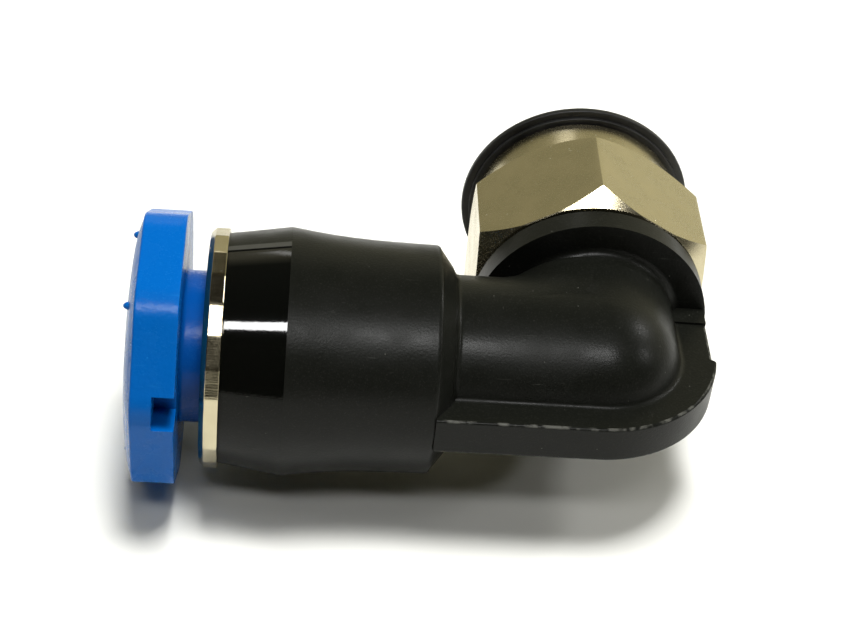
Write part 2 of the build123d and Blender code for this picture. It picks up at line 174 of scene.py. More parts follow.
def run_points(start: Sequence[float], stop: Sequence[float], count: int) -> np.ndarray:
    """Points of a straight run, evenly spaced, both ends kept."""
    return np.linspace(start, stop, count)


def rounded_outline(corners: Sequence[tuple[float, float, float]], steps: int = 5) -> np.ndarray:
    """Closed outline through corners (along, radius, rounding), each corner a small curve.

    A corner's curve is the quadratic blend of the point where the rounding starts, the corner
    itself and the point where it ends: (1-t)^2 A + 2t(1-t) B + t^2 C.

    Args:
        corners: the outline's corners, each with the length that its rounding takes.
        steps: points on each rounded corner.

    Returns:
        Points as an array of n by 2.
    """
    data = np.array(corners, float)
    points = data[:, :2]
    rounding = data[:, 2:3]
    before = np.roll(points, 1, axis=0) - points
    after = np.roll(points, -1, axis=0) - points
    start = points + before / np.linalg.norm(before, axis=1, keepdims=True) * rounding
    stop = points + after / np.linalg.norm(after, axis=1, keepdims=True) * rounding
    t = np.linspace(0, 1, steps)[None, :, None]
    curve = (1 - t) ** 2 * start[:, None] + 2 * t * (1 - t) * points[:, None] + t ** 2 * stop[:, None]
    keep = rounding[:, 0] > 0
    pieces = [curve[i] if keep[i] else points[i:i + 1] for i in range(len(points))]
    return np.concatenate(pieces)


def with_edges(angle: np.ndarray, edges: np.ndarray) -> np.ndarray:
    """Adds a pair of columns, one just each side, at every edge angle.

    Args:
        angle: the columns' angles.
        edges: angles at which the surface steps.

    Returns:
        All angles in rising order.
    """
    extra = np.concatenate([edges - EDGE_GAP, edges + EDGE_GAP]) % TURN
    return np.unique(np.concatenate([angle, extra]))


def turned(axis: Axis, section: np.ndarray, count: int, centre: Sequence[float]) -> np.ndarray:
    """Turns a section round an axis: every column has the section's own along and radius.

    Args:
        axis: the axis to turn about.
        section: points (along, radius).
        count: number of columns.
        centre: a point on the axis, where along is zero.

    Returns:
        Points as an array of rows by columns by 3.
    """
    angle = np.linspace(0, TURN, count, endpoint=False)
    shape = (len(section), count)
    along = np.broadcast_to(section[:, :1], shape)
    radius = np.broadcast_to(section[:, 1:], shape)
    return turned_grid(axis, along, radius, angle, centre)


@dataclass
class Shell:
    """Vertices and quads of one or more closed surfaces."""

    points: np.ndarray
    faces: np.ndarray

    @classmethod
    def from_grid(cls, grid: np.ndarray, close_rows: bool = True) -> "Shell":
        """Joins a grid into quads; columns always close, and rows close where asked.

        A face joins a point, the next in its row, and the same two of the next row.

        Args:
            grid: points, rows by columns by 3.
            close_rows: whether the last row joins the first.

        Returns:
            The shell.
        """
        rows, columns = grid.shape[:2]
        index = np.arange(rows * columns).reshape(rows, columns)
        below = np.roll(index, -1, axis=0)
        if not close_rows:
            index, below = index[:-1], below[:-1]
        right, below_right = np.roll(index, -1, axis=1), np.roll(below, -1, axis=1)
        faces = np.stack([index, right, below_right, below], axis=-1).reshape(-1, 4)
        return cls(grid.reshape(-1, 3), faces)

    def joined(self, other: "Shell") -> "Shell":
        """This shell and another as one."""
        faces = np.concatenate([self.faces, other.faces + len(self.points)])
        return Shell(np.concatenate([self.points, other.points]), faces)

    def to_object(self, name: str, sharp_degrees: float = 30.0) -> bpy.types.Object:
        """Makes a mesh object: doubles merged, faces outwards, edges sharp past an angle.

        Args:
            name: the object's name.
            sharp_degrees: edges that turn more than this stay sharp.

        Returns:
            The object, linked to the scene.
        """
        mesh = bpy.data.meshes.new(name)
        mesh.vertices.add(len(self.points))
        mesh.vertices.foreach_set("co", self.points.astype(np.float32).ravel())
        mesh.loops.add(self.faces.size)
        mesh.loops.foreach_set("vertex_index", self.faces.astype(np.int32).ravel())
        mesh.polygons.add(len(self.faces))
        mesh.polygons.foreach_set("loop_start", np.arange(0, self.faces.size, 4, dtype=np.int32))
        mesh.update(calc_edges=True)
        work = bmesh.new()
        work.from_mesh(mesh)
        bmesh.ops.remove_doubles(work, verts=work.verts, dist=MERGE_DISTANCE)
        bmesh.ops.recalc_face_normals(work, faces=work.faces)
        work.to_mesh(mesh)
        work.free()
        mesh.shade_smooth()
        mesh.set_sharp_from_angle(angle=math.radians(sharp_degrees))
        piece = bpy.data.objects.new(name, mesh)
        bpy.context.scene.collection.objects.link(piece)
        return piece


# ---- finishes ---------------------------------------------------------------


class Bench:
    """Lays out the nodes of one material."""

    def __init__(self, name: str) -> None:
        """Starts a material with a Principled shader.

        Args:
            name: the material's name.
        """
        self.material = bpy.data.materials.new(name)
        self.material.use_nodes = True
        self.tree = self.material.node_tree
        self.shader = self.tree.nodes["Principled BSDF"]
        self.where = self.tree.nodes.new("ShaderNodeTexCoord").outputs["Object"]

    def feed(self, socket: Socket, value: Input) -> None:
        """Links a socket to another, or sets its value.

        Args:
            socket: the input to fill.
            value: a socket to link it to, or a plain value.
        """
        if isinstance(value, Socket):
            self.tree.links.new(value, socket)
        else:
            socket.default_value = value

    def node(self, kind: str, **inputs: Input) -> bpy.types.Node:
        """Adds a node and fills its inputs.

        Args:
            kind: the node's type, without its ShaderNode prefix.
            inputs: a value or socket for each input, underscores for spaces.

        Returns:
            The node.
        """
        made = self.tree.nodes.new("ShaderNode" + kind)
        for key, value in inputs.items():
            self.feed(made.inputs[key.replace("_", " ")], value)
        return made

    def fill(self, **inputs: Input) -> None:
        """Fills inputs of the Principled shader.

        Args:
            inputs: a value or socket for each input, underscores for spaces.
        """
        for key, value in inputs.items():
            self.feed(self.shader.inputs[key.replace("_", " ")], value)

    def linked(self, name: str) -> Socket:
        """The socket that feeds an input of the Principled shader."""
        return self.shader.inputs[name].links[0].from_socket

    def axes(self) -> tuple[Socket, Socket, Socket]:
        """The x, y and z of the point being shaded."""
        return tuple(self.node("SeparateXYZ", Vector=self.where).outputs)

    def math(self, operation: str, first: Input, second: Input = 0.0) -> Socket:
        """Works out one Math node.

        Args:
            operation: the node's operation.
            first: its first value.
            second: its second value.

        Returns:
            The result.
        """
        made = self.tree.nodes.new("ShaderNodeMath")
        made.operation = operation
        self.feed(made.inputs[0], first)
        self.feed(made.inputs[1], second)
        return made.outputs[0]

    def chain(self, operation: str, first: Input, *others: Input) -> Socket:
        """Carries one operation through several values in turn.

        Args:
            operation: the Math node's operation.
            first: the value to start with.
            others: the values to take in one after another.

        Returns:
            The result.
        """
        result = first
        for other in others:
            result = self.math(operation, result, other)
        return result

    def product(self, first: Input, *others: Input) -> Socket:
        """All values multiplied."""
        return self.chain("MULTIPLY", first, *others)

    def between(self, value: Input, low: float, high: float) -> Socket:
        """1 where a value is between two limits, and 0 elsewhere."""
        return self.product(self.math("GREATER_THAN", value, low), self.math("LESS_THAN", value, high))

    def noise(self, size: float, detail: float = 3.0, stretch: Sequence[float] = (1, 1, 1),
              turn: Sequence[float] = (0, 0, 0)) -> Socket:
        """Adds noise.

        Args:
            size: about the size of a lump.
            detail: how many finer layers it has.
            stretch: scale along each axis; less than 1 draws the lumps out.
            turn: rotation about each axis.

        Returns:
            The noise, from 0 to 1.
        """
        mapping = self.node("Mapping", Vector=self.where, Scale=stretch, Rotation=turn)
        made = self.node("TexNoise", Vector=mapping.outputs[0], Scale=1 / size, Detail=detail)
        return made.outputs[0]

    def spots(self, spacing: float, size: float) -> Socket:
        """1 inside small scattered spots and 0 elsewhere: cells closer to their point than size."""
        made = self.node("TexVoronoi", Vector=self.where, Scale=1 / spacing)
        return self.math("LESS_THAN", made.outputs["Distance"], size / spacing)

    def ramp(self, value: Input, low: float, high: float, to_low: float = 0.0,
             to_high: float = 1.0) -> Socket:
        """Maps a value from one range to another, clamped.

        Args:
            value: the value.
            low: start of its range.
            high: end of its range.
            to_low: what low becomes.
            to_high: what high becomes.

        Returns:
            The mapped value.
        """
        made = self.node("MapRange", Value=value, From_Min=low, From_Max=high,
                         To_Min=to_low, To_Max=to_high)
        return made.outputs[0]

    def mix(self, factor: Input, first: Input, second: Input) -> Socket:
        """Mixes two colours.

        Args:
            factor: 0 for the first, 1 for the second.
            first: a socket or a colour.
            second: a socket or a colour.

        Returns:
            The mixed colour.
        """
        made = self.tree.nodes.new("ShaderNodeMix")
        made.data_type = "RGBA"
        self.feed(made.inputs["Factor"], factor)
        for slot, colour in ((6, first), (7, second)):
            self.feed(made.inputs[slot], colour if isinstance(colour, Socket) else (*colour, 1))
        return made.outputs[2]

    def bump(self, height: Input, depth: float) -> None:
        """Raises the surface; bumps stack.

        Args:
            height: where it is raised, from 0 to 1.
            depth: by how much, and negative to sink it.
        """
        made = self.node("Bump", Height=height, Distance=depth, Strength=1.0)
        normal = self.shader.inputs["Normal"]
        if normal.links:
            self.tree.links.new(normal.links[0].from_socket, made.inputs["Normal"])
        self.tree.links.new(made.outputs[0], normal)


@dataclass(frozen=True)
class Scratches:
    """Fine marks that run one way: noise drawn out along an axis and cut near its top."""

    width: float
    stretch: tuple[float, float, float]
    turn: tuple[float, float, float]
    low: float
    high: float

    def lay(self, b: Bench) -> Socket:
        """1 in a scratch and 0 elsewhere."""
        return b.ramp(b.noise(self.width, 2, self.stretch, self.turn), self.low, self.high)


@dataclass(frozen=True)
class Moulding:
    """Satin moulded plastic with grain, faint scratches and specks of dust."""

    name: str
    colour: Colour
    # colour of scratches, dust and flecks; the housing also paints its highlights in it
    scuff_and_highlight: Colour
    roughness: float
    roughness_swing: float
    grain: float
    grain_depth: float
    fleck: float = 0.08 * MM
    fleck_range: tuple[float, float] = (0.56, 0.74)
    fleck_strength: float = 0.2
    specular: float = 0.5
    cloud: float = 2.2 * MM
    cloud_range: tuple[float, float] = (0.3, 0.7)
    scratches: tuple[Scratches, ...] = (
        Scratches(0.16 * MM, (0.06, 1, 1), (0.3, 0.2, 0.5), 0.70, 0.76),
        Scratches(0.14 * MM, (1, 0.07, 1), (0.1, 0.6, -0.4), 0.72, 0.77),
    )
    scratch_patches: tuple[float, float] = (0.45, 0.7)
    scratch_strength: float = 0.6
    scratch_depth: float = 0.004 * MM
    dust_spacing: float = 0.75 * MM
    dust_size: float = 0.035 * MM
    dust_patches: tuple[float, float] = (0.45, 0.6)
    worn_roughness: float = 0.15

    def bench(self) -> Bench:
        """Lays out the finish.

        A cloudy noise sets the roughness, and where scratches and dust gather. Scratches, dust
        and flecks take the scuffed colour, and scratches are sunk a little.

        Returns:
            The bench, so that a special finish can add to it.
        """
        b = Bench(self.name)
        cloud = b.noise(self.cloud, 4)
        marks = b.chain("MAXIMUM", *(scratches.lay(b) for scratches in self.scratches))
        patchy = b.product(marks, b.ramp(cloud, *self.scratch_patches))
        dust = b.product(b.spots(self.dust_spacing, self.dust_size), b.ramp(cloud, *self.dust_patches))
        fleck = b.product(b.ramp(b.noise(self.fleck, 2), *self.fleck_range), self.fleck_strength)
        worn = b.chain("MAXIMUM", b.product(patchy, self.scratch_strength), dust, fleck)
        b.fill(Base_Color=b.mix(worn, self.colour, self.scuff_and_highlight))
        rough = b.ramp(cloud, *self.cloud_range, self.roughness - self.roughness_swing,
                       self.roughness + self.roughness_swing)
        b.fill(Roughness=b.math("ADD", rough, b.product(worn, self.worn_roughness)))
        b.fill(Specular_IOR_Level=self.specular)
        b.bump(b.noise(self.grain, 2), self.grain_depth)
        b.bump(patchy, -self.scratch_depth)
        return b

    def material(self) -> bpy.types.Material:
        """The finish as a material."""
        return self.bench().material


@dataclass(frozen=True)
class HousingMoulding(Moulding):
    """The housing's moulding, with two smooth marking fields on the mouth cone, a painted highlight beside
    each field and painted glints with wear on the rib's edges.
    """

    axis_y: float = 0.0
    field_x: tuple[float, float] = (0.0, 0.0)
    field_angle: tuple[float, float] = (0.0, 0.0)
    field_roughness: float = 0.06
    field_colour: Colour = (0.0022, 0.0024, 0.0019)
    field_specular: float = 0.5
    field_bump: float = 0.12
    # the lip's painted highlight: how far round it is moved, and how strongly it lightens
    highlight_lip_angle: float = math.radians(4.0)
    highlight_lip_strength: float = 0.5
    rib_z: float = 1.05 * MM
    rib_start: float = 0.0
    # painted glints and wear on the rib's edges: width, dash length and noise range
    glint_wear_width: float = 0.05 * MM
    glint_wear_length: float = 0.5 * MM
    glint_wear_range: tuple[float, float] = (0.46, 0.62)

    def edge_wear_and_glint(self, b: Bench, x: Socket, z: Socket) -> Socket:
        """Dashes of painted glint and wear on the rib's long edges: close to its two side planes, past the
        barrel.

        Args:
            b: the bench.
            x: distance along the tube axis.
            z: height.

        Returns:
            1 on the dashes of painted glint and wear, and 0 elsewhere.
        """
        off = b.math("ABSOLUTE", b.math("SUBTRACT", b.math("ABSOLUTE", z), self.rib_z))
        near = b.math("LESS_THAN", off, self.glint_wear_width)
        past = b.math("GREATER_THAN", x, self.rib_start)
        return b.product(near, past, b.ramp(b.noise(self.glint_wear_length, 4), *self.glint_wear_range))

    def sector(self, b: Bench, angle: Socket, shift: float) -> Socket:
        """The field's angles and their opposites, where |cos(angle - middle)| > cos(half width).

        Args:
            b: the bench.
            angle: angle about the tube axis.
            shift: how far round the sector is moved.

        Returns:
            1 inside and 0 elsewhere.
        """
        start, stop = self.field_angle
        near = b.math("COSINE", b.math("SUBTRACT", angle, (start + stop) / 2 + shift))
        return b.math("GREATER_THAN", b.math("ABSOLUTE", near), math.cos((stop - start) / 2))

    def material(self) -> bpy.types.Material:
        """The moulding, dark and polished in the fields, with a painted highlight along one side of each,
        where the field's lip catches the light.

        Returns:
            The finish as a material.
        """
        b = self.bench()
        x, y, z = b.axes()
        angle = b.math("ARCTAN2", z, b.math("SUBTRACT", self.axis_y, y))
        belt = b.between(x, *self.field_x)
        field = b.product(belt, self.sector(b, angle, 0.0))
        outside = b.math("SUBTRACT", 1.0, field)
        # painted highlight: a band beside each field, lightened toward the scuff colour
        highlight_lip = b.product(self.sector(b, angle, self.highlight_lip_angle), belt, outside, self.highlight_lip_strength)
        # painted glints and wear: dashes on the rib's edges lightened toward the scuff colour
        colour = b.mix(self.edge_wear_and_glint(b, x, z), b.linked("Base Color"), self.scuff_and_highlight)
        # the painted highlight is mixed in beside the fields
        colour = b.mix(highlight_lip, colour, self.scuff_and_highlight)
        b.fill(Base_Color=b.mix(field, colour, self.field_colour))
        b.fill(Specular_IOR_Level=b.ramp(field, 0, 1, self.specular, self.field_specular))
        b.fill(Roughness=b.math("ADD", b.product(b.linked("Roughness"), outside),
                                b.product(field, self.field_roughness)))
        for bump in [n for n in b.tree.nodes if n.type == "BUMP"]:
            b.feed(bump.inputs["Strength"], b.ramp(field, 0, 1, 1.0, self.field_bump))
        return b.material


@dataclass(frozen=True)
class CollarMoulding(Moulding):
    """The collar's moulding, with painted shade on the sleeve behind the flange."""

    axis_y: float = 0.0
    # darker blue painted on the sleeve as shade behind the flange
    sleeve_shade_colour: Colour = (0.0, 0.0, 0.0)
    sleeve_reach: float = 4.3 * MM
    sleeve_start: float = 0.0

    def material(self) -> bpy.types.Material:
        """The moulding, with painted shade past the flange where sqrt(y^2 + z^2) from the axis is the
        sleeve's: a darker blue for the shade there.

        Returns:
            The finish as a material.
        """
        b = self.bench()
        x, y, z = b.axes()
        across = b.math("SUBTRACT", y, self.axis_y)
        reach = b.math("SQRT", b.math("ADD", b.product(across, across), b.product(z, z)))
        sleeve = b.product(b.math("GREATER_THAN", x, self.sleeve_start),
                           b.math("LESS_THAN", reach, self.sleeve_reach))
        # painted shade: the sleeve behind the flange takes a darker blue
        b.fill(Base_Color=b.mix(sleeve, b.linked("Base Color"), self.sleeve_shade_colour))
        return b.material


@dataclass(frozen=True)
class Plating:
    """Satin plating over machined metal: a warm grey with tiny pits and faint tool marks."""

    name: str
    colour: Colour
    shade: Colour
    roughness: float
    mark_stretch: tuple[float, float, float]
    mark_size: float = 0.05 * MM
    mark_depth: float = 0.0012 * MM
    cloud: float = 1.8 * MM
    cloud_range: tuple[float, float] = (0.35, 0.65)
    fine: float = 0.09 * MM
    fine_depth: float = 0.002 * MM
    uneven_range: tuple[float, float] = (0.7, 1.3)
    smoother: float = 0.05
    duller: float = 0.06
    pit_spacing: float = 0.6 * MM
    pit_size: float = 0.05 * MM
    pit_depth: float = 0.01 * MM
    pit_patches: tuple[float, float] = (0.5, 0.62)
    pit_colour: Colour = (0.9, 0.87, 0.78)

    def material(self) -> bpy.types.Material:
        """Two tones in cloudy patches, a fine unevenness, drawn-out marks and scattered pits.

        Returns:
            The finish as a material.
        """
        b = Bench(self.name)
        cloud = b.noise(self.cloud, 5)
        fine = b.noise(self.fine, 3)
        pits = b.product(b.spots(self.pit_spacing, self.pit_size), b.ramp(cloud, *self.pit_patches))
        tone = b.mix(b.ramp(cloud, *self.cloud_range), self.colour, self.shade)
        b.fill(Base_Color=b.mix(pits, tone, self.pit_colour), Metallic=1.0)
        uneven = b.math("ADD", cloud, fine)
        b.fill(Roughness=b.ramp(uneven, *self.uneven_range, self.roughness - self.smoother,
                                self.roughness + self.duller))
        b.bump(b.noise(self.mark_size, 2, self.mark_stretch), self.mark_depth)
        b.bump(fine, self.fine_depth)
        b.bump(pits, -self.pit_depth)
        return b.material


@dataclass(frozen=True)
class Rubber:
    """Dull black rubber with a fine bloom."""

    name: str
    colour: Colour
    bloom: float = 0.8 * MM
    bloom_share: float = 2.2
    bloom_range: tuple[float, float] = (0.4, 0.75)
    roughness: tuple[float, float] = (0.42, 0.6)
    grain: float = 0.06 * MM
    grain_depth: float = 0.003 * MM

    def material(self) -> bpy.types.Material:
        """Black with lighter, duller patches of bloom.

        Returns:
            The finish as a material.
        """
        b = Bench(self.name)
        bloom = b.noise(self.bloom, 4)
        lighter = tuple(self.bloom_share * c for c in self.colour)
        b.fill(Base_Color=b.mix(b.ramp(bloom, *self.bloom_range), self.colour, lighter))
        b.fill(Roughness=b.ramp(bloom, 0.3, 0.7, *self.roughness))
        b.bump(b.noise(self.grain, 2), self.grain_depth)
        return b.material


# ---- the fitting ------------------------------------------------------------


def mount_point(name: str) -> Vector:
    """Finds the position of one of the record's mounts.

    Args:
        name: the mount's name.

    Returns:
        Its position.
    """
    found = next(m for m in frame["record"]["mounts"] if m["name"] == name)
    return Vector(found["pos_m"])


TUBE_AXIS_Y = mount_point("tube_port").y
ON_TUBE_AXIS = (0, TUBE_AXIS_Y, 0)
ON_STUD_AXIS = (0, 0, 0)


def place(piece: bpy.types.Object, finish: bpy.types.Material, body: str, slot: Slot,
          node: str) -> bpy.types.Object:
    """Dresses a new piece, lets it ride on its body and stands it for its CAD node.

    Args:
        piece: the piece.
        finish: its finish.
        body: the body it rides on.
        slot: its material slot; not used.
        node: the CAD node that it replaces.

    Returns:
        The piece.
    """
    piece.data.materials.clear()
    piece.data.materials.append(finish)
    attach(piece, body)
    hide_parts(node)
    return piece


def level_rows(rows: Sequence[tuple[float, float]], columns: int) -> tuple[np.ndarray, np.ndarray]:
    """Rows whose along and radius are the same in every column.

    Args:
        rows: along and radius of each row.
        columns: number of columns.

    Returns:
        Along and radius, each rows by columns.
    """
    spread = np.array(rows)[:, :, None] * np.ones(columns)
    return spread[:, 0], spread[:, 1]


def rows_between(start: tuple[np.ndarray, np.ndarray], stop: tuple[np.ndarray, np.ndarray],
                 share: np.ndarray) -> tuple[np.ndarray, np.ndarray]:
    """Rows on the way from one row to another: start plus share times the difference.

    Args:
        start: along and radius of the first row, a number for each column.
        stop: along and radius of the last row.
        share: how far each row is on its way, from 0 to 1.

    Returns:
        Along and radius, each rows by columns.
    """
    along, radius = (a + (b - a) * share[:, None] for a, b in zip(start, stop))
    return along, radius


@dataclass
class ReleaseCollar:
    """Blue collar: crowned eight-sided flange, driver notches, sleeve and bored nose."""

    node: str = "release_collar"
    body: str = "collar"
    crown: float = 0.55 * MM
    crown_start: float = 0.75 * MM
    crown_margin: float = 0.12 * MM
    crown_powers: tuple[float, float] = (2.2, 0.8)
    front_inset: float = 0.675 * MM
    flange_thickness: float = 2.3 * MM
    half_width: float = 7.229 * MM
    corner_reach: float = 7.62 * MM
    corner_radius: float = 2.5 * MM
    least_corner: float = 0.5 * MM
    sides: int = 8
    edge_round: float = 0.14 * MM
    rear_round: float = 0.06 * MM
    round_to: float = 4.6 * MM
    turn: float = math.radians(11.0)
    sleeve_radius: float = 4.13 * MM
    sleeve_fillet: float = 0.25 * MM
    bore_radius: float = 3.1 * MM
    bore_round: float = 0.6 * MM
    bore_start: float = 0.9 * MM
    bead_radius: float = 4.6 * MM
    bead_x: float = -18.18 * MM
    bead_top: float = 0.2 * MM
    bead_foot: float = 0.65 * MM
    nose_radius: float = 3.5 * MM
    nose_taper: float = 0.6 * MM
    nose_break: float = 0.05 * MM
    notch_width: float = 2.05 * MM
    notch_depth: float = 1.15 * MM
    notch_floor: float = 1.7 * MM
    pip_radius: float = 0.23 * MM
    pip_height: float = 0.40 * MM
    pip_foot: float = 0.26 * MM
    pip_root: float = 0.3 * MM
    pip_circle: float = 5.9 * MM
    pip_angles: tuple[float, ...] = (58.6, 118.6, 238.6, 298.6)
    step: float = 2e-6
    columns: int = 288

    @property
    def front(self) -> float:
        """Where the flange's flat sides start, just behind the crown."""
        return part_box(self.node)[0][0] + self.front_inset

    @property
    def back(self) -> float:
        """The flange's rear face."""
        return self.front + self.flange_thickness

    def crown_points(self) -> np.ndarray:
        """The crown, from the bore outwards: crown * (1 - s^p)^q proud, with s from 0 to 1.

        Returns:
            Points (along, radius).
        """
        s = np.linspace(0, 1, 14)
        fall, ease = self.crown_powers
        edge = self.half_width - self.edge_round - self.crown_margin
        radius = (self.bore_radius + self.crown_start) * (1 - s) + edge * s
        return np.stack([self.front - self.crown * np.clip(1 - s ** fall, 0, 1) ** ease, radius], axis=1)

    def flange_points(self) -> list[np.ndarray]:
        """The flange's rim: front rounding, side up to the notch, side along it, rear rounding.

        Returns:
            Runs of points (along, radius).
        """
        edge, r, q = self.half_width, self.edge_round, self.rear_round
        notch_x = self.back - self.notch_depth
        return [
            arc_points((self.front + r, edge - r), r, 180, 90, 8),
            run_points((self.front + r + 0.05 * MM, edge), (notch_x - self.step, edge), 4),
            run_points((notch_x + self.step, edge), (self.back - q, edge), 5),
            arc_points((self.back - q, edge - q), q, 90, 0, 4),
        ]

    def sleeve_points(self) -> list[np.ndarray]:
        """The fillet behind the flange, the sleeve with its snap bead, the nose and the bore.

        Returns:
            Runs of points (along, radius).
        """
        nose_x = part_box(self.node)[1][0]
        sleeve, fillet, bead_x = self.sleeve_radius, self.sleeve_fillet, self.bead_x
        return [
            arc_points((self.back + fillet, sleeve + fillet), fillet, 180, 270, 6),
            run_points((self.back + 2 * fillet, sleeve), (bead_x, sleeve), 5),
            run_points((bead_x, self.bead_radius), (bead_x + self.bead_top, self.bead_radius), 2),
            run_points((bead_x + self.bead_foot, sleeve), (nose_x - self.nose_taper, sleeve), 3),
            run_points((nose_x, self.nose_radius), (nose_x, self.bore_radius + self.nose_break), 3),
            run_points((nose_x - self.nose_break, self.bore_radius),
                       (self.front + self.bore_start, self.bore_radius), 8),
        ]

    def outline(self) -> tuple[np.ndarray, np.ndarray]:
        """The closed section, and how square each of its rows is.

        It runs up the bore's mouth, over the crown, round the flange, along the sleeve with
        its bead and round the nose back to the bore. The rim is fully square and the sleeve
        round; on both faces of the flange, squareness is the share of the way out, to 1.5.

        Returns:
            Points (along, radius), and a number from 0 to 1 for each.
        """
        mouth = arc_points((self.front - self.crown + 0.55 * MM, self.bore_radius + self.bore_round),
                           self.bore_round, -90, -165, 8)
        rear = run_points((self.back, self.half_width - self.edge_round),
                          (self.back, self.sleeve_radius + 0.35 * MM), 10)
        runs = [mouth, self.crown_points(), *self.flange_points(), rear, *self.sleeve_points()]
        square = [0.0, None, 1.0, 1.0, 1.0, 1.0, None] + [0.0] * len(self.sleeve_points())
        reach = self.half_width - self.edge_round - self.round_to
        levels = []
        for points, level in zip(runs, square):
            if level is None:
                level = np.clip((points[:, 1] - self.round_to) / reach, 0, 1) ** 1.5
            levels.append(np.broadcast_to(level, len(points)))
        return np.concatenate(runs), np.concatenate(levels)

    def shell(self) -> Shell:
        """The collar's surface.

        The section is carried round the tube axis. A row's radius is between its own value,
        round, and a rounded octagon of that half width whose corner shrinks with it. In a notch
        the radius is held to a flat floor: (half width - floor) / cos of the angle from its middle.

        Returns:
            The shell, with its pips.
        """
        section, square = self.outline()
        half_notch = math.atan2(self.notch_width / 2, self.corner_reach)
        middles = np.array([0.0, math.pi]) + self.turn
        walls = np.concatenate([middles - half_notch, middles + half_notch])
        angle = with_edges(np.linspace(0, TURN, self.columns, endpoint=False), walls)
        along = np.broadcast_to(section[:, :1], (len(section), len(angle)))
        width = section[:, 1:2]
        corner = np.clip(self.corner_radius - (self.half_width - width), self.least_corner, None)
        corner = np.minimum(corner, width * 0.98)
        boxed = polygon_radius(angle - self.turn - math.pi / self.sides, self.sides, width, corner)
        radius = width * (1 - square[:, None]) + boxed * square[:, None]
        off = np.abs((angle[:, None] - middles[None, :] + math.pi) % TURN - math.pi).min(axis=1)
        in_notch = (off < half_notch)[None, :] & (width > self.sleeve_radius * 1.02)
        in_notch = in_notch & (along > self.back - self.notch_depth) & (along < self.back + self.step / 2)
        floor = (self.half_width - self.notch_floor) / np.cos(off)[None, :]
        radius = np.where(in_notch, np.minimum(radius, floor), radius)
        shell = Shell.from_grid(turned_grid(Axis.TUBE, along, radius, angle, ON_TUBE_AXIS))
        for degrees in self.pip_angles:
            shell = shell.joined(self.pip(math.radians(degrees)))
        return shell

    def pip(self, at: float) -> Shell:
        """A small dome on the crown: a quarter circle turned about its own axis, on a short stem.

        Args:
            at: angle about the tube axis.

        Returns:
            The dome's shell, shut by a disc inside the flange.
        """
        rise = np.linspace(0, math.pi / 2, 6)[:, None]
        around = np.linspace(0, TURN, 14, endpoint=False)[None, :]
        flat = self.pip_radius * np.cos(rise)
        x = self.front - self.pip_foot - self.pip_height * np.sin(rise) + 0 * around
        across = self.pip_circle * math.cos(at) + flat * np.cos(around)
        up = self.pip_circle * math.sin(at) + flat * np.sin(around)
        dome = np.stack([x, TUBE_AXIS_Y - across, up], axis=-1)
        root = dome[:1].copy()
        root[..., 0] = self.front + self.pip_root
        middle = root.mean(axis=1, keepdims=True) + 0 * root
        return Shell.from_grid(np.concatenate([middle, root, dome]), close_rows=False)

    def build(self, finish: bpy.types.Material) -> bpy.types.Object:
        """Makes and dresses the collar."""
        piece = self.shell().to_object("blue_release_collar", 28)
        return place(piece, finish, self.body, Slot.COLLAR, self.node)


@dataclass
class MouthRing:
    """Plated ring at the mouth: a rim of narrow flats on a sleeve pressed into the barrel."""

    node: str = "mouth_ring"
    body: str = "elbow"
    thickness: float = 1.0 * MM
    corner_reach: float = 6.54 * MM
    flats: int = 24
    columns_per_flat: int = 16
    corner_round: float = 0.5 * MM
    chamfer: float = 0.28 * MM
    edge_round: float = 0.05 * MM
    mouth_round: float = 0.15 * MM
    bore_radius: float = 4.4 * MM
    sleeve_radius: float = 5.49 * MM
    groove_radius: float = 4.95 * MM
    groove_x: tuple[float, float] = (-18.2 * MM, -15.75 * MM)

    def section(self, flat: float) -> np.ndarray:
        """The ring's closed section.

        Args:
            flat: distance from the axis to a flat.

        Returns:
            Points (along, radius).
        """
        low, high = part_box(self.node)
        front, end = low[0], high[0]
        back = front + self.thickness
        return rounded_outline([
            (front, self.bore_radius, self.mouth_round),
            (front, flat - self.chamfer, self.edge_round),
            (front + self.chamfer, flat, self.edge_round),
            (back, flat, self.edge_round),
            (back, self.sleeve_radius, 0),
            (end, self.sleeve_radius, 0),
            (end, self.bore_radius, 0),
            (self.groove_x[1], self.bore_radius, 0),
            (self.groove_x[1], self.groove_radius, 0),
            (self.groove_x[0], self.groove_radius, 0),
            (self.groove_x[0], self.bore_radius, 0),
        ])

    def shell(self) -> Shell:
        """The section turned about the tube axis.

        Where a row is outside the sleeve, its radius is multiplied by the shape of a polygon
        with rounded corners, as a share of the distance to a flat.

        Returns:
            The shell.
        """
        half = math.pi / self.flats
        flat = self.corner_reach * math.cos(half)
        section = self.section(flat)
        angle = np.linspace(0, TURN, self.flats * self.columns_per_flat, endpoint=False)
        corner = np.array([[self.corner_round]])
        shape = polygon_radius(angle - half, self.flats, np.array([[flat]]), corner) / flat
        radius = np.broadcast_to(section[:, 1:], (len(section), len(angle)))
        radius = radius * np.where(radius > self.sleeve_radius * 1.01, shape, 1.0)
        along = np.broadcast_to(section[:, :1], radius.shape)
        return Shell.from_grid(turned_grid(Axis.TUBE, along, radius, angle, ON_TUBE_AXIS))

    def build(self, finish: bpy.types.Material) -> bpy.types.Object:
        """Makes and dresses the ring."""
        piece = self.shell().to_object("faceted_mouth_ring", 11)
        return place(piece, finish, self.body, Slot.PLATING, self.node)


